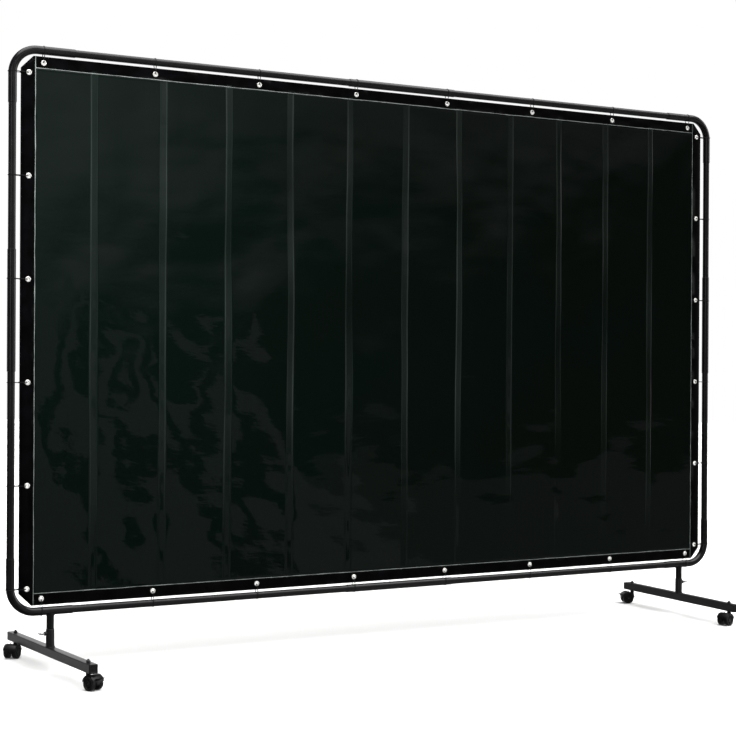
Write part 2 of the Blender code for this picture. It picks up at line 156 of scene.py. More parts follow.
def creaseShape(x, z):
    # height of the pressed folds here, and how white the vinyl is painted along them: fold whitening plus a
    # painted highlight
    height = 0.0
    foldWhiteAndHighlight = 0.0
    for i, place in enumerate(creases):
        offset = x - place
        if abs(offset) > curtain["creaseReach"]:
            continue
        offset -= curtain["wobble"] * noise.noise(Vector((i * 3.7, z * 1.9, 0.4)))
        half = curtain["creaseHalf"] * (1 + 0.25 * noise.noise(Vector((i * 5.1, z * 1.3, 2.2))))
        edge = curtain["creaseEdge"]
        across = 1 - smoothStep(half - edge, half + edge, abs(offset))
        ending = 0.62 + 0.22 * noise.noise(Vector((i * 1.7, 0.3, 5.5)))   # each fold dies out lower down
        fade = smoothStep(ending - 0.22, ending + 0.35, z)
        side = 1 if i % 2 else -1
        height += side * curtain["creaseDepth"] * across * (0.35 + 0.65 * fade)
        line = math.exp(-((abs(offset) - half) / curtain["creaseLine"]) ** 2)
        # painted highlight: the fold edge that faces left, towards the key light, is painted whiter than the
        # other
        paintedLitEdge = 1.0 if offset * side > 0 else 0.45
        patchy = 0.65 + 0.7 * noise.noise(Vector((i * 2.3, z * 2.7, 9.0)))
        foldWhiteAndHighlight += (line * paintedLitEdge + 0.22 * across) * fade * patchy * curtain["creaseWhiteAndHighlight"][i]
    return height, foldWhiteAndHighlight


def panelTwist(x, z):
    # each panel between two folds hangs at its own slight slant
    twist = 0.0
    ends = [-curtain["panelEnd"]] + creases + [curtain["panelEnd"]]
    blend = curtain["panelBlend"]
    for i, (before, place) in enumerate(zip(ends, ends[1:])):
        share = smoothStep(before - blend, before + blend, x)
        share *= 1 - smoothStep(place - blend, place + blend, x)
        if share > 0:
            twist += share * curtain["panelTwist"] * noise.noise(Vector((i * 7.3, z * 1.7, 8.2)))
    return twist


def drape(x, z):
    # how far the hung vinyl stands behind or in front of the frame's plane
    held = smoothStep(0, curtain["heldWithin"], min(edgeX - abs(x), edgeTop - z, z - edgeBottom))
    slow = curtain["slowWave"] * noise.noise(Vector((x * 1.5, z * 1.0, 3.1)))
    panel = curtain["panelWave"] * noise.noise(Vector((x * 4.4, z * 3.9, 7.7)))
    ripple = curtain["ripple"] * noise.noise(Vector((x * 9, z * 16, 1.9)))
    rim = curtain["rimWave"] * noise.noise(Vector((x * 9, z * 9, 4.6)))
    return held * (slow + panel + ripple + panelTwist(x, z)) + (1 - held) * rim


def linear(hexColour):
    channels = [int(hexColour[i:i + 2], 16) / 255 for i in (1, 3, 5)]
    lit = [c / 12.92 if c <= 0.04045 else ((c + 0.055) / 1.055) ** 2.4 for c in channels]
    return (*lit, 1.0)


def addNode(tree, kind, settings=None, values=None, links=None):
    node = tree.nodes.new(kind)
    for name, value in (settings or {}).items():
        setattr(node, name, value)
    for socket, value in (values or {}).items():
        node.inputs[socket].default_value = value
    for socket, source in (links or {}).items():
        tree.links.new(source, node.inputs[socket])
    return node


def startMaterial(name):
    material = bpy.data.materials.new(name)
    material.use_nodes = True
    tree = material.node_tree
    tree.nodes.clear()
    output = addNode(tree, "ShaderNodeOutputMaterial")
    shader = addNode(tree, "ShaderNodeBsdfPrincipled")
    tree.links.new(shader.outputs["BSDF"], output.inputs["Surface"])
    place = addNode(tree, "ShaderNodeTexCoord").outputs["Object"]
    return material, tree, shader, place


def perMetre(sizeInMm):
    return 1000.0 / sizeInMm


def tint(tree, source, low, high, lowAt=0.35, highAt=0.65):
    ramp = addNode(tree, "ShaderNodeValToRGB", links={"Fac": source})
    ramp.color_ramp.elements[0].position = lowAt
    ramp.color_ramp.elements[0].color = linear(low)
    ramp.color_ramp.elements[1].position = highAt
    ramp.color_ramp.elements[1].color = linear(high)
    return ramp.outputs["Color"]


def spread(tree, source, low, high):
    values = {"To Min": low, "To Max": high}
    ranged = addNode(tree, "ShaderNodeMapRange", values=values, links={"Value": source})
    return ranged.outputs["Result"]


def grain(tree, place, sizeInMm, detail=2.0):
    values = {"Scale": perMetre(sizeInMm), "Detail": detail, "Roughness": 0.55}
    return addNode(tree, "ShaderNodeTexNoise", values=values, links={"Vector": place}).outputs["Fac"]


def roughen(tree, shader, height, strength, depthInMm):
    bump = addNode(tree, "ShaderNodeBump", values={"Strength": strength, "Distance": depthInMm * mm},
                   links={"Height": height})
    tree.links.new(bump.outputs["Normal"], shader.inputs["Normal"])


def powderCoatedSteel(name, dark, light, shine, gloss, peel=2.2):
    # mild steel tube under a baked powder coat: deep black, soft orange peel, glossy on its curves
    material, tree, shader, place = startMaterial(name)
    cloud = grain(tree, place, 90, 3)
    tree.links.new(tint(tree, cloud, dark, light), shader.inputs["Base Color"])
    tree.links.new(spread(tree, grain(tree, place, 14, 3), shine - 0.05, shine + 0.08),
                   shader.inputs["Roughness"])
    shader.inputs["Metallic"].default_value = 0.0
    shader.inputs["IOR"].default_value = 1.5
    shader.inputs["Specular IOR Level"].default_value = gloss
    roughen(tree, shader, grain(tree, place, peel, 1), 0.08, 0.04)   # drawn coarser than the real 0.6 mm
    return material


def tintedPvcFilm():
    # calendered welding vinyl: near black with green in it, very smooth, whitened where it was folded, with
    # painted highlights along the folds
    material, tree, shader, place = startMaterial("tinted PVC film, calendered")
    sideways = addNode(tree, "ShaderNodeSeparateXYZ", links={"Vector": place}).outputs["X"]
    # painted light: a tint slope across the film makes it greener towards its left edge, standing in for
    # light seen through it
    fade = {"From Min": 1.5, "From Max": -1.3, "To Min": -0.2, "To Max": 0.4}
    paintedGlowSlope = addNode(tree, "ShaderNodeMapRange", values=fade, links={"Value": sideways})
    pigmentAndPaintedGlow = addNode(tree, "ShaderNodeMath", {"operation": "ADD"},
                      links={0: paintedGlowSlope.outputs["Result"], 1: grain(tree, place, 450, 3)})
    deep = tint(tree, pigmentAndPaintedGlow.outputs[0], "#040705", "#030806", 0.35, 0.85)      # greener towards the left edge: a painted tint standing in for light seen through the film there
    foldWhiteAndHighlight = addNode(tree, "ShaderNodeAttribute", {"attribute_name": "foldWhiteAndHighlight"}).outputs["Fac"]
    # the fold attribute carries both the whitening and a painted highlight along each fold
    whitenedAndHighlighted = addNode(tree, "ShaderNodeMix", {"data_type": "RGBA"},
                       {"B": linear("#2c3330")}, {"Factor": foldWhiteAndHighlight, "A": deep})
    tree.links.new(whitenedAndHighlighted.outputs["Result"], shader.inputs["Base Color"])
    tree.links.new(spread(tree, foldWhiteAndHighlight, 0.03, 0.20), shader.inputs["Roughness"])
    shader.inputs["IOR"].default_value = 1.53
    shader.inputs["Specular IOR Level"].default_value = 0.10
    stretched = addNode(tree, "ShaderNodeMapping", values={"Scale": (0.35, 1, 1)}, links={"Vector": place})
    roughen(tree, shader, grain(tree, stretched.outputs["Vector"], 70, 4), 1.0, 0.5)   # calender ripples
    return material


def weldedPvcHem():
    # folded black PVC, heat welded with a fine ribbed bar
    material, tree, shader, place = startMaterial("black PVC, welded hem")
    base = tint(tree, grain(tree, place, 60, 2), "#010101", "#030304")
    tree.links.new(base, shader.inputs["Base Color"])
    tree.links.new(spread(tree, grain(tree, place, 25, 2), 0.22, 0.38), shader.inputs["Roughness"])
    shader.inputs["Specular IOR Level"].default_value = 0.03
    ribs = addNode(tree, "ShaderNodeTexWave", {"wave_type": "BANDS", "bands_direction": "DIAGONAL"},
                   {"Scale": perMetre(5) / math.tau, "Distortion": 0.4}, {"Vector": place})
    roughen(tree, shader, ribs.outputs["Fac"], 0.15, 0.12)
    return material


def weldBeadPaintedHighlight():
    # squeezed-out edge of the weld: clear PVC, its grey colour a painted highlight for the light the bead
    # catches
    material, tree, shader, place = startMaterial("clear PVC weld bead, painted highlight")
    # painted highlight: the grey base colour stands in for light caught along the weld bead
    base = tint(tree, grain(tree, place, 45, 3), "#434947", "#6a716e")
    tree.links.new(base, shader.inputs["Base Color"])
    shader.inputs["Roughness"].default_value = 0.28
    return material


def nickelPlatedBrass():
    # bright nickel on pressed brass: pale, a little uneven where the press burnished it
    material, tree, shader, place = startMaterial("brass, nickel plated")
    base = tint(tree, grain(tree, place, 3, 2), "#e4e2dc", "#f7f5f0")
    tree.links.new(base, shader.inputs["Base Color"])
    shader.inputs["Metallic"].default_value = 0.85
    tree.links.new(spread(tree, grain(tree, place, 2, 2), 0.30, 0.45), shader.inputs["Roughness"])
    return material


def zincPlatedSteel(name="steel, zinc plated", dark="#8e9192", light="#c4c6c6"):
    # bright zinc: grey with faint crystal patches
    material, tree, shader, place = startMaterial(name)
    cells = addNode(tree, "ShaderNodeTexVoronoi", values={"Scale": perMetre(2.5)}, links={"Vector": place})
    tree.links.new(tint(tree, cells.outputs["Distance"], dark, light, 0.1, 0.7), shader.inputs["Base Color"])
    shader.inputs["Metallic"].default_value = 1.0
    tree.links.new(spread(tree, grain(tree, place, 4, 2), 0.25, 0.45), shader.inputs["Roughness"])
    return material


def mouldedNylon(name, dark, light, low, high, textureMm=0.8):
    # injection moulded nylon: even black, fine spark-eroded texture
    material, tree, shader, place = startMaterial(name)
    tree.links.new(tint(tree, grain(tree, place, 12, 2), dark, light), shader.inputs["Base Color"])
    tree.links.new(spread(tree, grain(tree, place, 6, 2), low, high), shader.inputs["Roughness"])
    shader.inputs["Specular IOR Level"].default_value = 0.22
    roughen(tree, shader, grain(tree, place, textureMm, 1), 0.2, 0.05)
    return material


frameCoat = powderCoatedSteel("steel tube, gloss powder coat", "#050506", "#09090a", 0.20, 0.28)
innerCoat = powderCoatedSteel("steel tube, semi gloss powder coat", "#060607", "#0b0b0c", 0.24, 0.24)
footCoat = powderCoatedSteel("square steel tube, satin powder coat", "#0a0a0b", "#101011", 0.34, 0.42, 3.0)
film = tintedPvcFilm()
hemPvc = weldedPvcHem()
seamPaintedHighlight = weldBeadPaintedHighlight()
nickel = nickelPlatedBrass()
zinc = zincPlatedSteel()
dullZinc = zincPlatedSteel("steel, black zinc plated", "#3a3c3d", "#5a5c5d")
tieNylon = mouldedNylon("nylon 6.6, smooth black", "#070708", "#0e0e0f", 0.25, 0.35, 1.5)
capNylon = mouldedNylon("polyethylene, moulded black", "#070708", "#0d0d0e", 0.40, 0.55)
hoodNylon = mouldedNylon("nylon, moulded black", "#060607", "#0c0c0d", 0.35, 0.5)
wheelNylon = mouldedNylon("polypropylene wheel, moulded black", "#09090a", "#111112", 0.38, 0.55)
print("materials made")


def newPiece(name, bm, material, body, stands=(), sharp=35):
    bmesh.ops.recalc_face_normals(bm, faces=bm.faces)
    mesh = bpy.data.meshes.new(name)
    bm.to_mesh(mesh)
    bm.free()
    mesh.materials.append(material)
    mesh.shade_smooth()
    mesh.set_sharp_from_angle(angle=math.radians(sharp))
    piece = bpy.data.objects.new(name, mesh)
    bpy.context.scene.collection.objects.link(piece)
    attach(piece, body)
    if stands:
        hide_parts(*stands)
    return piece


def joinRings(bm, rings, closed=False, capped=False):
    rows = [[bm.verts.new(point) for point in ring] for ring in rings]
    pairs = list(zip(rows, rows[1:]))
    if closed:
        pairs.append((rows[-1], rows[0]))
    for a, b in pairs:
        count = max(len(a), len(b))
        for i in range(count):
            j = (i + 1) % count
            if len(a) == 1:
                bm.faces.new((a[0], b[j], b[i]))
            elif len(b) == 1:
                bm.faces.new((a[i], a[j], b[0]))
            else:
                bm.faces.new((a[i], a[j], b[j], b[i]))
    if capped:
        bm.faces.new(rows[0])
        bm.faces.new(list(reversed(rows[-1])))


def turn(bm, place, profile, steps=40, closed=False):
    # profile points are (radius, height) along the local Z
    rings = []
    for radius, height in profile:
        if radius < 1e-6:
            rings.append([place @ Vector((0, 0, height))])
            continue
        ring = []
        for i in range(steps):
            angle = math.tau * i / steps
            ring.append(place @ Vector((radius * math.cos(angle), radius * math.sin(angle), height)))
        rings.append(ring)
    joinRings(bm, rings, closed)


def along(direction):
    return zAxis.rotation_difference(Vector(direction)).to_matrix().to_4x4()


def roundedSquare(half, radius, segments=5):
    points = []
    for cx, cy, start in ((1, 1, 0), (-1, 1, 90), (-1, -1, 180), (1, -1, 270)):
        for i in range(segments + 1):
            angle = math.radians(start + 90 * i / segments)
            points.append((cx * (half[0] - radius) + radius * math.cos(angle),
                           cy * (half[1] - radius) + radius * math.sin(angle)))
    return points


def stackSquares(bm, place, stations):
    # rounded squares across the local Y: (y, half width, half height, corner radius)
    rings = []
    for y, halfX, halfZ, radius in stations:
        rings.append([place @ Vector((a, y, b)) for a, b in roundedSquare((halfX, halfZ), radius)])
    joinRings(bm, rings, capped=True)


def roundedBlock(bm, place, size, radius, segments=3):
    made = bmesh.ops.create_cube(bm, size=1.0, matrix=Matrix.Diagonal((*size, 1.0)))
    edges = {edge for vert in made["verts"] for edge in vert.link_edges}
    grown = bmesh.ops.bevel(bm, geom=list(edges), offset=radius, segments=segments, profile=0.5,
                            affect="EDGES", clamp_overlap=True)
    corners = {vert for face in grown["faces"] for vert in face.verts}
    bmesh.ops.transform(bm, matrix=place, verts=list(corners))


def sweepRound(bm, points, radii, sides, closed=False, across=yAxis):
    rings = []
    count = len(points)
    for i, point in enumerate(points):
        before = points[i - 1] if closed or i else points[0]
        after = points[(i + 1) % count] if closed or i < count - 1 else points[-1]
        tangent = (after - before).normalized()
        side = (across - across.dot(tangent) * tangent).normalized()
        up = tangent.cross(side)
        radius = radii[i] if isinstance(radii, list) else radii
        rings.append([point + radius * (math.cos(math.tau * k / sides) * side
                                        + math.sin(math.tau * k / sides) * up) for k in range(sides)])
    joinRings(bm, rings, closed=closed, capped=not closed)


def extrudeSides(bm, place, outline, width, radius):
    # an outline in the local YZ plane, given its width along X, with softened edges
    front = [bm.verts.new((-width / 2, y, z)) for y, z in outline]
    face = bm.faces.new(front)
    grown = bmesh.ops.extrude_face_region(bm, geom=[face], use_keep_orig=True)
    back = [item for item in grown["geom"] if isinstance(item, bmesh.types.BMVert)]
    bmesh.ops.translate(bm, verts=back, vec=(width, 0, 0))
    body = set(front) | set(back)
    rims = [edge for edge in bm.edges if edge.verts[0] in body and edge.verts[1] in body
            and abs(edge.verts[0].co.x - edge.verts[1].co.x) < 1e-7]
    softened = bmesh.ops.bevel(bm, geom=rims, offset=radius, segments=2, profile=0.5, affect="EDGES")
    body |= {vert for made in softened["faces"] for vert in made.verts}
    bmesh.ops.transform(bm, matrix=place, verts=[vert for vert in body if vert.is_valid])


tube = {"wall": 1.2 * mm, "lip": 0.35 * mm, "bend": 85 * mm, "sides": 40, "bendSteps": 24}


def tubeSkin(name, node, trail, length, radius, stops, material):
    # trail(s) gives a point and direction; the skin runs out along the tube and back inside it
    inner = radius - tube["wall"]
    lip = tube["lip"]
    outline = [(0, radius - lip), (lip, radius)] + [(s, radius) for s in stops]
    outline += [(length - lip, radius), (length, radius - lip), (length, inner + lip), (length - lip, inner)]
    outline += [(s, inner) for s in reversed(stops)] + [(lip, inner), (0, inner + lip)]
    rings = []
    for s, r in outline:
        point, direction = trail(s)
        up = direction.cross(yAxis)
        rings.append([point + r * (math.cos(math.tau * k / tube["sides"]) * yAxis
                                   + math.sin(math.tau * k / tube["sides"]) * up)
                      for k in range(tube["sides"])])
    bm = bmesh.new()
    joinRings(bm, rings, closed=True)
    newPiece(name, bm, material, "frame", [node])


def straightTube(name, node, material):
    low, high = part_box(node)
    size = high - low
    centre = (low + high) / 2
    direction = xAxis if size.x > size.z else zAxis
    length = max(size.x, size.z)
    start = centre - direction * length / 2
    tubeSkin(name, node, lambda s: (start + direction * s, direction), length, size.y / 2,
             [length * i / 12 for i in range(1, 12)], material)


def cornerBend(name, node, sideX, sideZ):
    low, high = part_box(node)
    radius = (high.y - low.y) / 2
    corner = Vector((sideX * uprightX, 0, railHigh if sideZ > 0 else railLow))
    bend = tube["bend"]
    centre = corner - Vector((sideX * bend, 0, sideZ * bend))
    legZ = high.z - low.z - radius - bend
    legX = high.x - low.x - radius - bend
    arc = bend * math.pi / 2

    def trail(s):
        if s < legZ:
            return corner - Vector((0, 0, sideZ * (bend + legZ - s))), Vector((0, 0, sideZ))
        if s > legZ + arc:
            return corner - Vector((sideX * (bend + s - legZ - arc), 0, 0)), Vector((-sideX, 0, 0))
        angle = (s - legZ) / bend
        spoke = Vector((sideX * math.cos(angle), 0, sideZ * math.sin(angle)))
        return centre + bend * spoke, Vector((-sideX * math.sin(angle), 0, sideZ * math.cos(angle)))

    stops = [legZ / 2] + [legZ + arc * i / tube["bendSteps"] for i in range(tube["bendSteps"] + 1)]
    stops.append(legZ + arc + legX / 2)
    tubeSkin(name, node, trail, legZ + arc + legX, radius, stops, frameCoat)


def buildFrame():
    for sideX, hand in ((-1, "left"), (1, "right")):
        for sideZ, level in ((-1, "lower"), (1, "upper")):
            cornerBend(f"{level}{hand.title()}Bend", f"{level}_{hand}_corner_bend", sideX, sideZ)
        straightTube(f"{hand}UprightCoupling", f"{hand}_upright_coupling", frameCoat)
        straightTube(f"{hand}UprightLowerTube", f"{hand}_upright_lower_tube", innerCoat)
        straightTube(f"{hand}UprightUpperTube", f"{hand}_upright_upper_tube", innerCoat)
    for rail in ("top", "bottom"):
        straightTube(f"{rail}RailCoupling", f"{rail}_rail_coupling", frameCoat)
        straightTube(f"{rail}RailLeftTube", f"{rail}_rail_left_tube", innerCoat)
        straightTube(f"{rail}RailRightTube", f"{rail}_rail_right_tube", innerCoat)


buildFrame()
print("frame tubes built")


def filmColumns():
    tuck = curtain["tuck"]
    low = sheetLow.x - tuck
    high = sheetHigh.x + tuck
    fine = curtain["columnFine"]
    places = {round(low, 5), round(high, 5)}
    for place in creases:
        for i in range(-curtain["columnsBeside"], curtain["columnsBeside"] + 1):
            places.add(round(place + i * fine, 5))
    x = low
    while x < high:
        if all(abs(x - place) > curtain["columnClear"] for place in creases):
            places.add(round(x, 5))
        x += curtain["columnCoarse"]
    return sorted(places)


def buildFilm():
    columns = filmColumns()
    low = sheetLow.z - curtain["tuck"]
    high = sheetHigh.z + curtain["tuck"]
    rows = int((high - low) / curtain["rowStep"])
    bm = bmesh.new()
    whiteAndHighlight = bm.verts.layers.float.new("foldWhiteAndHighlight")
    grid = []
    for j in range(rows + 1):
        z = low + (high - low) * j / rows
        line = []
        for x in columns:
            height, foldWhiteAndHighlight = creaseShape(x, z)
            vert = bm.verts.new((x, drape(x, z) + height, z))
            vert[whiteAndHighlight] = min(1.0, foldWhiteAndHighlight)
            line.append(vert)
        grid.append(line)
    for below, above in zip(grid, grid[1:]):
        for i in range(len(columns) - 1):
            bm.faces.new((below[i], below[i + 1], above[i + 1], above[i]))
    piece = newPiece("curtainFilm", bm, film, "frame", ["curtain_sheet"], sharp=60)
    thicken = piece.modifiers.new("film thickness", "SOLIDIFY")
    thicken.thickness = 2 * curtain["filmHalf"]
    thicken.offset = 0.0
    return piece, (columns[-1] - columns[0], high - low)


def edgeCurl(x):
    # the side hems' folded outer edges roll back a little
    past = max(0.0, abs(x) - (edgeX - curtain["curl"])) / curtain["curl"]
    return curtain["curl"] * 0.55 * past ** 2


def hemStrip(name, node, outline, holes):
    # flat outline with its grommet holes, meshed, then given two skins that follow the drape
    points = [Vector(p) for p in outline]
    edges = [(i, (i + 1) % len(points)) for i in range(len(points))]
    sides = curtain["holeSides"]
    for hx, hz in holes:
        first = len(points)
        for k in range(sides):
            angle = math.tau * k / sides
            points.append(Vector((hx + curtain["holeRadius"] * math.cos(angle),
                                  hz + curtain["holeRadius"] * math.sin(angle))))
            edges.append((first + k, first + (k + 1) % sides))
    lowX = min(p.x for p in points)
    highX = max(p.x for p in points)
    lowZ = min(p.y for p in points)
    highZ = max(p.y for p in points)
    margin = curtain["hemMargin"]
    step = curtain["hemStep"]
    across = max(2, int((highX - lowX - 2 * margin) / step))
    up = max(2, int((highZ - lowZ - 2 * margin) / step))
    cut = curtain["cornerCut"]
    for i in range(across + 1):
        for j in range(up + 1):
            x = lowX + margin + (highX - lowX - 2 * margin) * i / across
            z = lowZ + margin + (highZ - lowZ - 2 * margin) * j / up
            inCorner = (edgeX - abs(x)) + min(edgeTop - z, z - edgeBottom) < cut + 2 * margin
            nearHole = any((x - hx) ** 2 + (z - hz) ** 2 < curtain["holeClear"] ** 2 for hx, hz in holes)
            if not inCorner and not nearHole:
                points.append(Vector((x, z)))
    if highZ - lowZ > highX - lowX:
        outer = math.copysign(edgeX, lowX + highX)
        rows = int((highZ - lowZ - 2 * cut) / step)
        for i in range(rows + 1):
            for share in (0.25, 0.5, 0.75, 1):
                x = outer - math.copysign(curtain["curl"] * share, outer)
                points.append(Vector((x, edgeBottom + cut + (highZ - lowZ - 2 * cut) * i / rows)))
    verts, _, faces, _, _, _ = delaunay_2d_cdt(points, edges, [], 0, 1e-6)

    def keep(face):
        middle = sum((verts[i] for i in face), Vector((0, 0))) / len(face)
        if any((middle - Vector(h)).length < curtain["holeRadius"] * 0.98 for h in holes):
            return False
        return (edgeX - abs(middle.x)) + min(edgeTop - middle.y, middle.y - edgeBottom) > cut - 0.1 * mm

    bm = bmesh.new()
    skins = []
    for sign in (-1, 1):
        skins.append([bm.verts.new((p.x, drape(p.x, p.y) + edgeCurl(p.x) + sign * curtain["hemHalf"], p.y))
                      for p in verts])
    for face in faces:
        if keep(face):
            bm.faces.new([skins[0][i] for i in face])
            bm.faces.new([skins[1][i] for i in reversed(face)])
    twin = dict(zip(skins[0], skins[1]))
    rims = [edge for edge in bm.edges
            if edge.is_boundary and edge.verts[0] in twin and edge.verts[1] in twin]
    for edge in rims:
        a, b = edge.verts
        bm.faces.new((a, b, twin[b], twin[a]))
    loose = [vert for vert in bm.verts if not vert.link_faces]
    bmesh.ops.delete(bm, geom=loose, context="VERTS")
    return newPiece(name, bm, hemPvc, "frame", [node], sharp=50)


def rectangle(low, high):
    return [(low.x, low.z), (high.x, low.z), (high.x, high.z), (low.x, high.z)]


def buildHems():
    cut = curtain["cornerCut"]
    strips = []
    for side, node, low, high in (("top", "top_hem", topHemLow, topHemHigh),
                                  ("bottom", "bottom_hem", bottomHemLow, bottomHemHigh)):
        holes = [(x, z) for edge, _, x, z, _ in spots if edge == side and low.x < x < high.x]
        strips.append(hemStrip(side + "Hem", node, rectangle(low, high), holes))
    for side, node, sign in (("left", "left_hem", -1), ("right", "right_hem", 1)):
        inner = abs(leftHemHigh.x) if sign < 0 else rightHemLow.x
        outline = [(sign * inner, edgeBottom), (sign * (edgeX - cut), edgeBottom),
                   (sign * edgeX, edgeBottom + cut), (sign * edgeX, edgeTop - cut),
                   (sign * (edgeX - cut), edgeTop), (sign * inner, edgeTop)]
        holes = [(x, z) for edge, _, x, z, _ in spots if edge == side]
        strips.append(hemStrip(side + "Hem", node, outline, holes))
    return strips


seam = {"radius": 1.3 * mm, "waver": 1.1 * mm, "step": 12 * mm, "sides": 8}


def weldBead(name, start, end, face):
    # the bead wavers a little where the vinyl was pressed out from under the welding bar
    run = Vector(end) - Vector(start)
    count = int(run.length / seam["step"])
    sideways = Vector((-run.y, run.x)).normalized()
    points = []
    radii = []
    for i in range(count + 1):
        flat = Vector(start) + run * i / count
        flat += sideways * seam["waver"] * noise.noise(Vector((flat.x * 11, flat.y * 11, face * 2.0)))
        depth = drape(flat.x, flat.y) + face * (curtain["hemHalf"] + 0.1 * mm)
        points.append(Vector((flat.x, depth, flat.y)))
        radii.append(seam["radius"] * (1 + 0.35 * noise.noise(Vector((flat.x * 17, flat.y * 17, 6.0)))))
    bm = bmesh.new()
    sweepRound(bm, points, radii, seam["sides"])
    return newPiece(name, bm, seamPaintedHighlight, "frame")


def buildSeams():
    beads = []
    innerLeft = leftHemHigh.x
    innerRight = rightHemLow.x
    for face, label in ((-1, "Front"), (1, "Back")):
        beads.append(weldBead(f"topSeam{label}", (innerLeft, topHemLow.z), (innerRight, topHemLow.z), face))
        beads.append(weldBead(f"bottomSeam{label}", (innerLeft, bottomHemHigh.z),
                              (innerRight, bottomHemHigh.z), face))
        beads.append(weldBead(f"leftSeam{label}", (innerLeft, edgeBottom), (innerLeft, edgeTop), face))
        beads.append(weldBead(f"rightSeam{label}", (innerRight, edgeBottom), (innerRight, edgeTop), face))
    return beads


grommetProfile = [(4.6, -1.2), (5.2, -2.1), (6.6, -2.6), (8.2, -2.4), (9.3, -1.6), (9.4, -0.95),
                  (5.4, -0.95), (5.4, 0.95), (9.0, 0.95), (9.1, 1.3), (8.4, 1.7), (5.8, 1.8),
                  (4.9, 1.5), (4.6, 0.9)]

tie = {
    "startOut": 4.2 * mm,           # from the grommet's middle to where the loop leaves it
    "loopSteps": 22,
    "halfWidth": 1.35 * mm,
    "halfThick": 0.5 * mm,
    "slack": 0.7 * mm,
    "clear": 3.4 * mm,      # how far the loop stands off the hem beside its grommet
    "head": (4.8 * mm, 3.6 * mm, 4.4 * mm),
    "seed": 11,
}


def grommet(name, x, z):
    place = Matrix.Translation((x, drape(x, z), z)) @ along(yAxis)
    bm = bmesh.new()
    turn(bm, place, [(r * mm, h * mm) for r, h in grommetProfile], 36, closed=True)
    return newPiece(name, bm, nickel, "frame")


def tubeRadiusAt(x, z):
    for node in frame["nodes"]:
        if not ("coupling" in node or "corner_bend" in node):
            continue
        low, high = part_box(node)
        if low.x < x < high.x and low.z < z < high.z:
            return (high.y - low.y) / 2
    low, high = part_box("top_rail_left_tube")
    return (high.y - low.y) / 2


def tiePath(reach, radius):
    # closed loop in the plane of depth and reach: through the grommet, round the far side of the tube
    clear = tie["clear"]
    start = Vector((-clear, tie["startOut"]))
    centre = Vector((0, reach))
    gap = centre - start
    swing = math.acos(radius / gap.length)
    toStart = math.atan2(-gap.y, -gap.x)
    first = toStart - swing
    last = math.pi - first
    sweep = (last - first) % math.tau
    if sweep < math.pi:
        sweep = math.tau - sweep
    steps = tie["loopSteps"]
    arc = []
    for i in range(steps + 1):
        angle = first - sweep * i / steps
        arc.append(centre + radius * Vector((math.cos(angle), math.sin(angle))))
    through = [(2.7, 1.9), (1.4, 0.6), (0, 0.2), (-1.4, 0.6), (-2.7, 1.9)]
    run = [start.lerp(arc[0], t) for t in (0, 0.33, 0.66)]
    back = [arc[-1].lerp(Vector((clear, tie["startOut"])), t) for t in (0.33, 0.66, 1)]
    return run + arc + back + [Vector((p * mm, q * mm)) for p, q in through]


def cableTie(name, x, z, outward, wobble):
    y = drape(x, z)
    tubeCentre = Vector((x, 0, railHigh if outward.z > 0 else railLow))
    if outward.x:
        tubeCentre = Vector((math.copysign(uprightX, x), 0, z))
    reach = abs((tubeCentre - Vector((x, 0, z))).dot(outward))
    radius = tubeRadiusAt(tubeCentre.x, tubeCentre.z) + tie["halfThick"] + tie["slack"]
    axis = outward.cross(yAxis)
    width = tie["halfWidth"]
    thick = tie["halfThick"]
    section = roundedSquare((width, thick), 0.35 * mm, 2)
    flat = tiePath(reach, radius)
    count = len(flat)
    rings = []
    for i, spot in enumerate(flat):
        run = (flat[(i + 1) % count] - flat[i - 1]).normalized()
        near = 1 - min(1.0, spot.y / reach)          # the loop follows the vinyl near its grommet
        point = Vector((x, y * near, z)) + yAxis * spot.x + outward * spot.y
        normal = yAxis * -run.y + outward * run.x
        lean = axis * wobble * (spot.y / reach)
        rings.append([point + lean + axis * a + normal * b for a, b in section])
    bm = bmesh.new()
    joinRings(bm, rings, closed=True)
    behind = Vector((x, 0, z)) + yAxis * (tie["clear"] + 3.4 * mm) + outward * (reach * 0.48)
    place = Matrix.Translation(behind + axis * wobble * 0.5) @ Matrix((
        (axis.x, 0, outward.x, 0), (axis.y, 1, outward.y, 0), (axis.z, 0, outward.z, 0), (0, 0, 0, 1)))
    roundedBlock(bm, place, tie["head"], 0.6 * mm)
    tail = place @ Matrix.Translation((0, tie["head"][1] / 2 + 2.5 * mm, 0.6 * mm))
    roundedBlock(bm, tail, (2 * width, 6 * mm, 2 * thick), 0.3 * mm, 2)
    return newPiece(name, bm, tieNylon, "frame")


def buildTies():
    dice = random.Random(tie["seed"])
    rings = []
    for side, number, x, z, outward in spots:
        rings.append(grommet(f"{side}Grommet{number}", x, z))
        cableTie(f"{side}CableTie{number}", x, z, outward, dice.uniform(-1.2, 1.2) * mm)
    return rings


filmPiece, filmSize = buildFilm()
hems = buildHems()
seams = buildSeams()
grommets = buildTies()
print("curtain hung with", len(grommets), "grommets and ties")


def upright(origin, axis):
    # a frame that stands on the floor under origin, with its X along the given level axis
    side = Vector(axis).normalized()
    ahead = zAxis.cross(side)
    matrix = Matrix((side, ahead, zAxis)).transposed().to_4x4()
    matrix.translation = Vector((origin[0], origin[1], 0))
    return matrix


foot = {
    "corner": 2.6 * mm,
    "capPlate": 3 * mm,
    "socketWall": 1.2 * mm,
    "bead": 1.9 * mm,
    "boss": (7 * mm, 7 * mm),           # radius and length
    "length": 740 * mm,
}


def beadRing(bm, place, radius, height, size, count=72):
    # a row of weld ripples round a joint; height may be a function of the angle
    points = []
    radii = []
    for i in range(count):
        angle = math.tau * i / count
        level = height(angle) if callable(height) else height
        points.append(place @ Vector((radius * math.cos(angle), radius * math.sin(angle), level)))
        uneven = 0.12 * noise.noise(Vector((i * 0.5, radius, 3)))
        radii.append(size * (1 + 0.16 * math.sin(angle * 22) + uneven))
    sweepRound(bm, points, radii, 8, closed=True, across=zAxis)


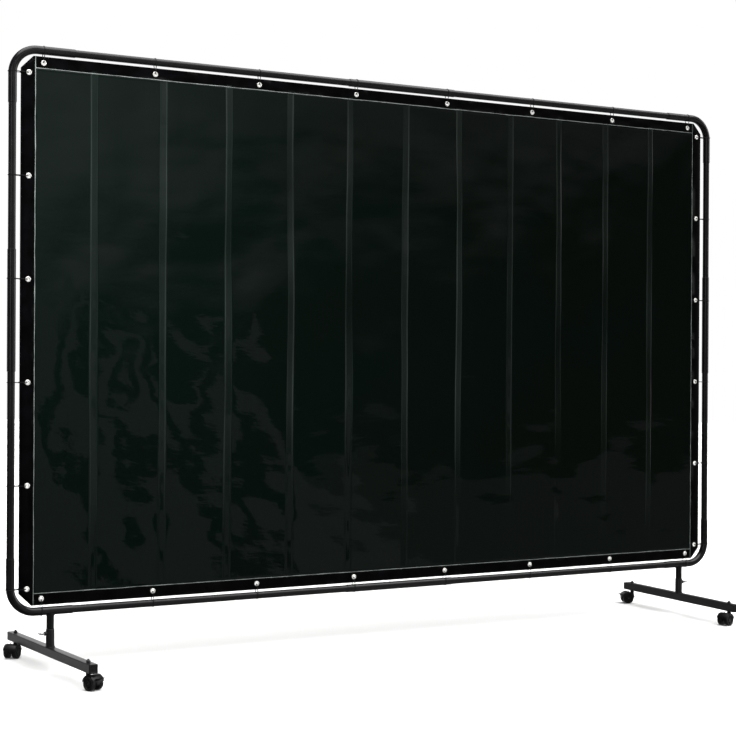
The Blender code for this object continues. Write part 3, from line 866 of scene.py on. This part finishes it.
def buildPost(hand):
    low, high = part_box(f"{hand}_stub_post")
    radius = (high.y - low.y) / 2
    wide = (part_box(f"lower_{hand}_corner_bend")[1].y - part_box(f"lower_{hand}_corner_bend")[0].y) / 2
    bm = bmesh.new()
    steps = 48
    rings = []
    straight = Matrix.Translation((mid(f"{hand}_stub_post").x, 0, 0))

    def saddle(angle, reach=radius):
        return railLow - math.sqrt(max(0.0, wide ** 2 - (reach * math.sin(angle)) ** 2))

    for r, level in ((radius - 1.2 * mm, low.z), (radius, low.z), (radius, None), (radius - 1.2 * mm, None)):
        ring = []
        for i in range(steps):
            angle = math.tau * i / steps
            height = saddle(angle, r) if level is None else level
            ring.append(straight @ Vector((r * math.cos(angle), r * math.sin(angle), height)))
        rings.append(ring)
    joinRings(bm, rings, closed=True)
    newPiece(f"{hand}StubPost", bm, frameCoat, "frame", [f"{hand}_stub_post"])
    bm = bmesh.new()
    beadRing(bm, straight, radius + 0.6 * mm, lambda angle: saddle(angle) - 0.4 * mm, foot["bead"] * 0.8)
    newPiece(f"{hand}PostWeld", bm, frameCoat, "frame")


def buildSocket(hand, side, place):
    low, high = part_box(f"{hand}_foot_socket")
    radius = (high.y - low.y) / 2
    inner = radius - foot["socketWall"]
    lip = 0.4 * mm
    body = f"{hand}_foot"
    bm = bmesh.new()
    turn(bm, place, [(inner, low.z), (radius, low.z), (radius, high.z - lip), (radius - lip, high.z),
                     (inner + lip, high.z), (inner, high.z - lip)], 48, closed=True)
    newPiece(f"{hand}FootSocket", bm, footCoat, body, [f"{hand}_foot_socket"])
    bm = bmesh.new()
    beadRing(bm, place, radius + 0.7 * mm, low.z + 0.5 * mm, foot["bead"])
    newPiece(f"{hand}SocketWeld", bm, footCoat, body)
    bolt = joints[f"{hand}_wing_bolt_turn"]
    bossRadius, bossLength = foot["boss"]
    level = bolt["pos_m"][2]
    start = place @ Matrix.Translation((0, 0, level)) @ along((side, 0, 0))
    bm = bmesh.new()
    turn(bm, start, [(3.4 * mm, radius - 2 * mm), (bossRadius, radius - 2 * mm),
                     (bossRadius, radius + bossLength - 0.8 * mm),
                     (bossRadius - 0.8 * mm, radius + bossLength),
                     (4.0 * mm, radius + bossLength), (3.4 * mm, radius + bossLength - 0.6 * mm)],
         36, closed=True)
    newPiece(f"{hand}ClampBoss", bm, footCoat, body)
    bm = bmesh.new()
    points = []
    for i in range(40):
        angle = math.tau * i / 40
        across = (bossRadius + 0.5 * mm) * math.cos(angle)
        out = math.sqrt(radius ** 2 - across ** 2) + 0.4 * mm
        points.append(start @ Vector((0, 0, 0)) + (place.to_3x3() @ Vector((side * out, across, 0)))
                      + zAxis * (bossRadius + 0.5 * mm) * math.sin(angle))
    sweepRound(bm, points, 1.1 * mm, 8, closed=True, across=place.to_3x3() @ xAxis)
    newPiece(f"{hand}BossWeld", bm, footCoat, body)


def threadProfile(radius, start, end, pitch, depth):
    turns = int((end - start) / pitch)
    points = []
    for i in range(turns):
        base = start + i * pitch
        points += [(radius, base + 0.15 * pitch), (radius - depth, base + 0.6 * pitch)]
    return points


wing = {"shaft": 3 * mm, "pitch": 1.0 * mm, "hub": 5 * mm, "hubLength": 9 * mm, "span": 13 * mm,
        "thick": 3 * mm}


def buildWingBolt(hand, side, place):
    low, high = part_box(f"{hand}_foot_socket")
    radius = (high.y - low.y) / 2
    level = joints[f"{hand}_wing_bolt_turn"]["pos_m"][2]
    start = place @ Matrix.Translation((0, 0, level)) @ along((side, 0, 0))
    hubStart = radius + foot["boss"][1] + 4 * mm
    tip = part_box(f"{hand}_stub_post")[1].y + 0.4 * mm
    bm = bmesh.new()
    shaft = [(0, tip), (wing["shaft"] - 0.7 * mm, tip)]
    shaft += threadProfile(wing["shaft"], tip + 0.4 * mm, hubStart + 1 * mm, wing["pitch"], 0.35 * mm)
    shaft += [(wing["shaft"] - 0.3 * mm, hubStart + 2 * mm), (0, hubStart + 2 * mm)]
    turn(bm, start, shaft, 28)
    hubEnd = hubStart + wing["hubLength"]
    turn(bm, start, [(0, hubStart), (wing["hub"] - 0.6 * mm, hubStart), (wing["hub"], hubStart + 0.6 * mm),
                     (wing["hub"] - 0.5 * mm, hubEnd - 1.2 * mm), (wing["hub"] - 1.8 * mm, hubEnd),
                     (0, hubEnd + 0.2 * mm)], 32)
    for earSide in (-1, 1):
        ear = []
        for i in range(18):
            angle = math.pi * i / 17
            ear.append((earSide * (wing["span"] - 5.2 * mm + 5.2 * mm * math.sin(angle)),
                        hubStart + wing["hubLength"] * 0.55 + 5.6 * mm - 5.4 * mm * math.cos(angle)))
        ear += [(earSide * 2.5 * mm, hubEnd - 1 * mm), (earSide * 2.5 * mm, hubStart + 2 * mm)]
        flat = place @ Matrix.Translation((0, 0, level)) @ Matrix(((0, 0, side, 0), (0, 1, 0, 0),
                                                                   (-side, 0, 0, 0), (0, 0, 0, 1)))
        extrudeSides(bm, flat, ear, wing["thick"], 0.8 * mm)
    newPiece(f"{hand}WingBolt", bm, zinc, f"{hand}_wing_bolt", [f"{hand}_wing_bolt"])


def buildBar(hand, place):
    low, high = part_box(f"{hand}_foot_bar")
    half = (high.z - low.z) / 2
    level = (high.z + low.z) / 2
    reach = foot["length"] / 2 - foot["capPlate"] - 0.3 * mm
    body = f"{hand}_foot"
    centre = place @ Matrix.Translation((0, 0, level))
    bm = bmesh.new()
    stations = [(-reach, half - 0.3 * mm, half - 0.3 * mm, foot["corner"])]
    stations += [(-reach + 0.3 * mm + 2 * (reach - 0.3 * mm) * i / 10, half, half, foot["corner"])
                 for i in range(11)]
    stations.append((reach, half - 0.3 * mm, half - 0.3 * mm, foot["corner"]))
    stackSquares(bm, centre, stations)
    newPiece(f"{hand}FootBar", bm, footCoat, body, [f"{hand}_foot_bar"])
    for end, label in ((-1, "front"), (1, "rear")):
        bm = bmesh.new()
        outer = foot["length"] / 2
        inside = half - 1.9 * mm
        steps = [(outer - 13 * mm, inside - 1 * mm, 1 * mm), (outer - 9 * mm, inside, 1.2 * mm),
                 (outer - foot["capPlate"], inside, 1.2 * mm),
                 (outer - foot["capPlate"], half - 0.1 * mm, 2.6 * mm),
                 (outer - 1.0 * mm, half, 2.8 * mm), (outer - 0.2 * mm, half - 0.9 * mm, 2.6 * mm),
                 (outer, half - 2.2 * mm, 2.4 * mm), (outer - 0.1 * mm, half - 4.6 * mm, 1.8 * mm),
                 (outer - 0.9 * mm, half - 5.4 * mm, 1.5 * mm), (outer - 0.9 * mm, 2.2 * mm, 1.0 * mm),
                 (outer - 0.4 * mm, 1.6 * mm, 0.8 * mm)]
        stackSquares(bm, centre, [(end * y, h, h, r) for y, h, r in steps])
        newPiece(f"{hand}{label.title()}EndCap", bm, capNylon, body,
                 [f"{hand}_{label}_end_cap"])


caster = {
    "wheelRadius": 23 * mm,
    "wheelInner": 8.3 * mm,
    "wheelOuter": 24.5 * mm,
    "trail": 24 * mm,
    "hoodInner": 24.5 * mm,
    "hoodOuter": 27.5 * mm,
    "hoodHalf": 23.5 * mm,
    "web": 7.8 * mm,
    "hoodTop": 53.5 * mm,
    "hoodStart": 10,                # degrees round the wheel from its rear, where the hood begins
    "hoodSweep": 154,
    "hoodSteps": 26,
    "webStart": -8,
    "webSweep": 196,
    "webSteps": 32,
    "ribAngle": 48,
    "pedalTilt": -12,
    "stem": 4 * mm,
    "stemTop": 97 * mm,
    "nut": 7.5 * mm,
}


def buildStem(label, place, body):
    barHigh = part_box(body + "_bar")[1].z
    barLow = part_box(body + "_bar")[0].z
    radius = caster["stem"]
    flange = barLow - 0.3 * mm
    base = caster["hoodTop"] + 0.3 * mm
    profile = [(0, caster["stemTop"]), (radius - 0.9 * mm, caster["stemTop"])]
    profile += [(r, z) for r, z in reversed(threadProfile(radius, barHigh + 1 * mm, caster["stemTop"],
                                                          1.25 * mm, 0.45 * mm))]
    profile += [(radius, barHigh), (radius, flange), (7.4 * mm, flange), (8 * mm, flange - 0.5 * mm),
                (8 * mm, base + 0.4 * mm), (7.6 * mm, base), (radius, base), (radius, 30 * mm), (0, 30 * mm)]
    bm = bmesh.new()
    turn(bm, place, profile, 30)
    newPiece(f"{label}Stem", bm, dullZinc, body, [nodeOf[label] + "_stem"])
    bm = bmesh.new()
    bottom = barHigh + 0.3 * mm
    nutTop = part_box(nodeOf[label] + "_nut")[1].z
    rings = []
    for r, z in ((caster["nut"] * 0.93, bottom), (caster["nut"], bottom + 0.7 * mm),
                 (caster["nut"], nutTop - 0.7 * mm), (caster["nut"] * 0.93, nutTop),
                 (radius + 0.9 * mm, nutTop), (radius + 0.2 * mm, nutTop - 0.6 * mm),
                 (radius + 0.2 * mm, bottom + 0.4 * mm), (radius + 0.6 * mm, bottom)):
        angles = [math.tau * i / 6 for i in range(6)]
        rings.append([place @ Vector((r * math.cos(a), r * math.sin(a), z)) for a in angles])
    joinRings(bm, rings, closed=True)
    newPiece(f"{label}Nut", bm, dullZinc, body, [nodeOf[label] + "_nut"], sharp=20)


def buildHood(label, place, body):
    centre = place @ Matrix.Translation((0, -caster["trail"], caster["wheelRadius"]))
    bm = bmesh.new()
    outline = []
    steps = caster["hoodSteps"]
    out = range(steps + 1)
    for radius, order in ((caster["hoodOuter"], out), (caster["hoodInner"], reversed(out))):
        for i in order:
            angle = math.radians(caster["hoodStart"] + caster["hoodSweep"] * i / steps)
            outline.append((radius * math.cos(angle), radius * math.sin(angle)))
    extrudeSides(bm, centre, outline, 2 * caster["hoodHalf"], 0.7 * mm)
    web = [(0, -8.6 * mm), (7.4 * mm, -7 * mm)]
    reach = caster["hoodInner"] + 1 * mm
    for i in range(caster["webSteps"] + 1):
        angle = math.radians(caster["webStart"] + caster["webSweep"] * i / caster["webSteps"])
        web.append((reach * math.cos(angle), reach * math.sin(angle)))
    web.append((-7.4 * mm, -7 * mm))
    extrudeSides(bm, centre, web, 2 * caster["web"], 0.6 * mm)
    top = caster["hoodTop"]
    turn(bm, place, [(0, 20 * mm), (5.6 * mm, 20 * mm), (7.4 * mm, 22 * mm), (7.8 * mm, 26 * mm),
                     (7.8 * mm, top - 0.7 * mm), (7.1 * mm, top), (4.3 * mm, top), (4.3 * mm, top - 4 * mm),
                     (0, top - 4 * mm)], 36)
    for side in (-1, 1):
        rib = centre @ Matrix.Rotation(math.radians(caster["ribAngle"]), 4, "X")
        rib = rib @ Matrix.Translation((side * 13 * mm, caster["hoodOuter"] + 0.2 * mm, 0))
        roundedBlock(bm, rib, (1.6 * mm, 2.2 * mm, 22 * mm), 0.6 * mm)
    newPiece(f"{label}Hood", bm, hoodNylon, body, [nodeOf[label] + "_hood"])


def buildWheel(label, letter, side, place):
    radius = caster["wheelRadius"]
    inner = caster["wheelInner"]
    outer = caster["wheelOuter"]
    profile = [(3.3 * mm, inner), (3.3 * mm, outer - 1.2 * mm), (4.2 * mm, outer - 0.9 * mm),
               (7.6 * mm, outer - 0.6 * mm), (8.2 * mm, outer - 1.2 * mm), (8.8 * mm, outer - 3.0 * mm),
               (14.5 * mm, outer - 3.4 * mm), (16.6 * mm, outer - 1.2 * mm), (17.4 * mm, outer - 0.3 * mm),
               (19.6 * mm, outer), (21.0 * mm, outer - 0.3 * mm), (22.3 * mm, outer - 1.3 * mm),
               (radius, outer - 3.0 * mm), (radius, outer - 5.0 * mm),
               (radius - 0.35 * mm, outer - 5.3 * mm), (radius - 0.35 * mm, outer - 5.9 * mm),
               (radius, outer - 6.2 * mm), (radius, inner + 2.4 * mm),
               (radius - 0.7 * mm, inner + 0.7 * mm), (radius - 2 * mm, inner), (9 * mm, inner),
               (8 * mm, inner + 0.8 * mm), (5 * mm, inner + 0.8 * mm), (4.4 * mm, inner)]
    bm = bmesh.new()
    facing = place @ Matrix.Translation((0, -caster["trail"], radius)) @ along((side, 0, 0))
    turn(bm, facing, profile, 56, closed=True)
    for i in range(6):                                      # moulded spokes in the dished face
        angle = math.tau * i / 6
        spoke = facing @ Matrix.Rotation(angle, 4, "Z") @ Matrix.Translation((12 * mm, 0, outer - 2.7 * mm))
        roundedBlock(bm, spoke, (8.5 * mm, 1.7 * mm, 2.4 * mm), 0.5 * mm, 2)
    node = f"{nodeOf[label]}_wheel_{letter}"
    newPiece(f"{label}Wheel{letter.upper()}", bm, wheelNylon, node, [node])


def buildAxle(label, place, body):
    end = caster["wheelOuter"] - 1.0 * mm
    centre = place @ Matrix.Translation((0, -caster["trail"], caster["wheelRadius"])) @ along(xAxis)
    half = [(0, end), (1.6 * mm, end - 0.1 * mm), (2.6 * mm, end - 0.6 * mm), (3.0 * mm, end - 1.3 * mm)]
    bm = bmesh.new()
    turn(bm, centre, half + [(r, -z) for r, z in reversed(half)], 24)
    newPiece(f"{label}Axle", bm, dullZinc, body, [nodeOf[label] + "_axle"])


def buildPedal(label, place):
    body = nodeOf[label] + "_brake_pedal"
    hinge = Vector(joints[nodeOf[label] + "_brake_press"]["pos_m"])
    local = place.inverted() @ hinge
    tilt = Matrix.Rotation(math.radians(caster["pedalTilt"]), 4, "X")
    base = place @ Matrix.Translation(local) @ tilt
    bm = bmesh.new()
    outline = [(0.4, -1.4), (0.9, 0.0), (0.4, 1.4), (-4.0, 1.6), (-9.0, 1.5), (-13.0, 1.9), (-15.4, 2.8),
               (-16.2, 2.2), (-15.4, 0.9), (-13.2, -0.6), (-9.0, -1.3), (-4.0, -1.5)]
    extrudeSides(bm, base, [(y * mm, z * mm) for y, z in outline], 26 * mm, 0.6 * mm)
    for i in range(4):
        rib = base @ Matrix.Translation((0, (-6 - 2.2 * i) * mm, 1.8 * mm))
        roundedBlock(bm, rib, (20 * mm, 0.8 * mm, 0.8 * mm), 0.3 * mm, 2)
    newPiece(f"{label}BrakePedal", bm, hoodNylon, body, [body])


nodeOf = {}
for end in ("front", "rear"):
    for hand in ("left", "right"):
        nodeOf[f"{hand}{end.title()}"] = f"{hand}_{end}"


def buildCaster(label, footBody):
    node = nodeOf[label]
    body = node + "_caster"
    swivel = joints[body + "_swivel"]["pos_m"]
    roll = joints[node + "_wheel_a_roll"]["axis"]
    place = upright(swivel, roll)
    buildStem(label, place, footBody)
    buildHood(label, place, body)
    buildAxle(label, place, body)
    for letter, side in (("a", -1), ("b", 1)):
        buildWheel(label, letter, side, place)
    if node + "_brake_press" in joints:
        buildPedal(label, place)


for side, hand in ((-1, "left"), (1, "right")):
    boltAxis = Vector(joints[f"{hand}_wing_bolt_turn"]["axis"]) * side
    place = upright(joints[f"{hand}_foot_swivel"]["pos_m"], boltAxis)
    buildPost(hand)
    buildSocket(hand, side, place)
    buildWingBolt(hand, side, place)
    buildBar(hand, place)
    for end in ("Front", "Rear"):
        buildCaster(hand + end, f"{hand}_foot")
print("feet and casters built")


studio = {
    "floor": "#f6f6f5",
    "floorReach": 24.0,
    "front": 0.05,              # brightness of each part of the room
    "back": 0.12,
    "above": 5.2,
    "aboveToward": (0.14, -0.16, 0.977),
    "aboveEdge": (0.74, 0.86),  # cosines where the overhead light fades in
    "floorGlow": 0.29,
    "floorEdge": -0.062,        # sine of the angle below the horizon where the lit floor ends
    "board": 0.58,              # a white board leaning beside the set, and the direction across its edge
    "boardAcross": (0.628, 0.272, 0.729),
    "rightSide": (0.10, 0.24),  # board and lit floor are seen only to the right and in front
    "frontSide": (-0.6, -0.5),
    "gaps": [                   # dark gaps in the boards and floor: direction across, half width
        ((0.823, 0.329, 0.4635), 0.0120),
        ((0.930, 0.317, 0.185), 0.0100),
    ],
    "patches": [                # soft bright patches: towards, cosine outside and inside, brightness
        ((0.249, -0.928, 0.276), 0.955, 0.998, 1.25),
        ((0.498, -0.797, 0.342), 0.955, 0.992, 0.60),
        ((0.260, 0.950, 0.170), 0.930, 0.990, 1.50),
        ((-0.330, 0.940, -0.090), 0.972, 0.994, 0.85),
        ((0.350, 0.870, -0.348), 0.820, 0.985, 0.95),
    ],
    "panels": [                 # tall soft panels standing left and right: towards, half width, brightness
        ((-0.670, -0.743, 0), 0.20, 1.7),
        ((0.951, -0.309, 0), 0.36, 3.0),
    ],
    "keySpot": (-2.6, -2.2, 2.9),
    "keyTarget": (-1.3, 0, 1.75),
    "keySize": (1.2, 1.2),
    "keyPower": 24,
    "keySpread": 50,
}


def buildFloor():
    material, tree, shader, place = startMaterial("pale studio floor")
    pale = tint(tree, grain(tree, place, 900, 2), "#f4f4f3", studio["floor"])
    tree.links.new(pale, shader.inputs["Base Color"])
    shader.inputs["Roughness"].default_value = 0.9
    shader.inputs["Specular IOR Level"].default_value = 0.1
    bm = bmesh.new()
    bmesh.ops.create_circle(bm, cap_ends=True, segments=96, radius=studio["floorReach"])
    mesh = bpy.data.meshes.new("studioFloor")
    bm.to_mesh(mesh)
    bm.free()
    mesh.materials.append(material)
    floor = bpy.data.objects.new("studioFloor", mesh)
    floor.visible_glossy = False        # the gloss sees the darker room instead
    bpy.context.scene.collection.objects.link(floor)


def areaLight(name, spot, target, size, power, spreadAngle):
    data = bpy.data.lights.new(name, "AREA")
    data.shape = "RECTANGLE"
    data.size = size[0]
    data.size_y = size[1]
    data.energy = power
    data.spread = math.radians(spreadAngle)
    lamp = bpy.data.objects.new(name, data)
    lamp.location = spot
    lamp.rotation_euler = (Vector(target) - Vector(spot)).to_track_quat("-Z", "Y").to_euler()
    lamp.visible_camera = False
    lamp.visible_glossy = False
    bpy.context.scene.collection.objects.link(lamp)


def roomPart(tree, source, low, high, before, after, smooth=True):
    settings = {"interpolation_type": "SMOOTHSTEP" if smooth else "LINEAR"}
    values = {"From Min": low, "From Max": high, "To Min": before, "To Max": after}
    return addNode(tree, "ShaderNodeMapRange", settings, values, {"Value": source}).outputs["Result"]


def roomMix(tree, under, over, share):
    node = addNode(tree, "ShaderNodeMix", {"data_type": "FLOAT"}, {"B": over}, {"Factor": share, "A": under})
    return node.outputs["Result"]


def combine(tree, operation, first, second):
    return addNode(tree, "ShaderNodeMath", {"operation": operation}, links={0: first, 1: second}).outputs[0]


def towards(tree, direction, vector):
    node = addNode(tree, "ShaderNodeVectorMath", {"operation": "DOT_PRODUCT"}, {1: vector}, {0: direction})
    return node.outputs["Value"]


def buildWorld():
    world = bpy.data.worlds.new("studio surround")
    bpy.context.scene.world = world
    world.use_nodes = True
    tree = world.node_tree
    tree.nodes.clear()
    direction = addNode(tree, "ShaderNodeTexCoord").outputs["Generated"]
    parts = addNode(tree, "ShaderNodeSeparateXYZ", links={"Vector": direction}).outputs
    level = roomPart(tree, parts["Y"], -0.2, 0.5, studio["front"], studio["back"])
    for toward, outside, inside, brightness in studio["patches"]:
        share = roomPart(tree, towards(tree, direction, toward), outside, inside, 0, 1)
        level = roomMix(tree, level, brightness, share)
    overhead = roomPart(tree, towards(tree, direction, studio["aboveToward"]), *studio["aboveEdge"], 0, 1)
    level = roomMix(tree, level, studio["above"], overhead)
    for toward, half, brightness in studio["panels"]:
        aside = towards(tree, direction, zAxis.cross(Vector(toward)))
        share = roomPart(tree, combine(tree, "MULTIPLY", aside, aside), (half * 0.7) ** 2, half ** 2, 1, 0)
        facing = roomPart(tree, towards(tree, direction, toward), 0.3, 0.5, 0, 1)
        share = combine(tree, "MULTIPLY", share, facing)
        share = combine(tree, "MULTIPLY", share, roomPart(tree, parts["Z"], 0.35, 0.55, 1, 0))
        share = combine(tree, "MULTIPLY", share, roomPart(tree, parts["Z"], -0.12, 0.06, 0.12, 1))
        level = roomMix(tree, level, brightness, share)
    edge = studio["floorEdge"]
    floorSeen = roomPart(tree, parts["Z"], edge - 0.001, edge + 0.001, 1, 0)
    board = roomPart(tree, towards(tree, direction, studio["boardAcross"]), -0.002, 0.002, 1, 0)
    for part in (roomPart(tree, parts["X"], *studio["rightSide"], 0, 1),
                 roomPart(tree, parts["Y"], *studio["frontSide"], 1, 0)):
        board = combine(tree, "MULTIPLY", board, part)
        floorSeen = combine(tree, "MULTIPLY", floorSeen, part)
    for across, half in studio["gaps"]:
        away = addNode(tree, "ShaderNodeMath", {"operation": "ABSOLUTE"},
                       links={0: towards(tree, direction, across)}).outputs[0]
        lit = roomPart(tree, away, half - 0.002, half + 0.002, 0, 1)
        board = combine(tree, "MULTIPLY", board, lit)
        floorSeen = combine(tree, "MULTIPLY", floorSeen, lit)
    level = roomMix(tree, level, studio["floorGlow"], floorSeen)
    level = roomMix(tree, level, studio["board"], board)
    level = roomMix(tree, level, 1.0, addNode(tree, "ShaderNodeLightPath").outputs["Is Camera Ray"])
    background = addNode(tree, "ShaderNodeBackground", values={"Color": (1, 1, 1, 1)},
                         links={"Strength": level})
    output = addNode(tree, "ShaderNodeOutputWorld")
    tree.links.new(background.outputs["Background"], output.inputs["Surface"])


def buildLights():
    areaLight("left key", studio["keySpot"], studio["keyTarget"], studio["keySize"],
              studio["keyPower"], studio["keySpread"])


def buildCamera():
    camera = {"away": (-3.1184, -5.2047), "below": 0.1036, "yaw": 29.75, "pitch": -0.155, "roll": 0.31,
              "lens": 78.26}
    yaw = math.radians(camera["yaw"])
    pitch = math.radians(camera["pitch"])
    roll = math.radians(camera["roll"])
    look = Vector((math.sin(yaw) * math.cos(pitch), math.cos(yaw) * math.cos(pitch), math.sin(pitch)))
    right = Vector((math.cos(yaw), -math.sin(yaw), 0))
    up = right.cross(look)
    tiltedRight = right * math.cos(roll) + up * math.sin(roll)
    tiltedUp = up * math.cos(roll) - right * math.sin(roll)
    data = bpy.data.cameras.new("studio camera")
    data.lens = camera["lens"]
    data.sensor_width = 36
    data.clip_end = 60
    eye = bpy.data.objects.new("studio camera", data)
    matrix = Matrix((tiltedRight, tiltedUp, -look)).transposed().to_4x4()
    matrix.translation = Vector((*camera["away"], centreZ - camera["below"]))
    eye.matrix_world = matrix
    bpy.context.scene.collection.objects.link(eye)
    bpy.context.scene.camera = eye


buildFloor()
buildWorld()
buildLights()
buildCamera()
bpy.context.scene.view_settings.view_transform = "Standard"
print("studio ready")
